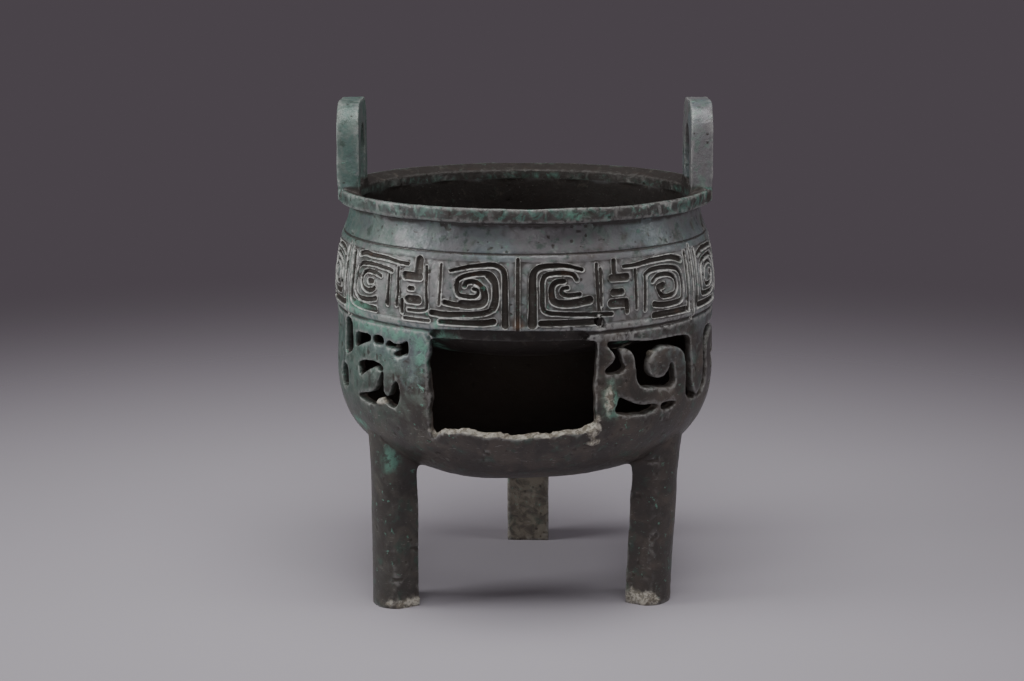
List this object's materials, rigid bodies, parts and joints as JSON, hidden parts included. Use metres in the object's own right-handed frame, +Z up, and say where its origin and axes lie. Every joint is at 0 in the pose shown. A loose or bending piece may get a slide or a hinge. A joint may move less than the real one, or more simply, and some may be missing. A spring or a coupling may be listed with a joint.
{
  "type": "bronze ding vessel",
  "caption": "Round ancient bronze ding on column legs, with upright loop handles, a scroll frieze, a stoking window and pierced scrolls round its fire chamber.",
  "frame": {"origin": "on the ground under the centre of the mouth, level with the undersides of the feet", "axes": "+Z up; -Y towards the stoking window at the front; +X to the right hand handle seen from the front"},
  "size_m": [0.1864, 0.1864, 0.2416],
  "materials": {
    "patinated_bronze": "ancient cast bronze, matt grey-green and brown patina with green corrosion flecks, paler on worn edges"
  },
  "bodies": {
    "root": {"ding_vessel": "patinated_bronze"}
  },
  "joints": []
}
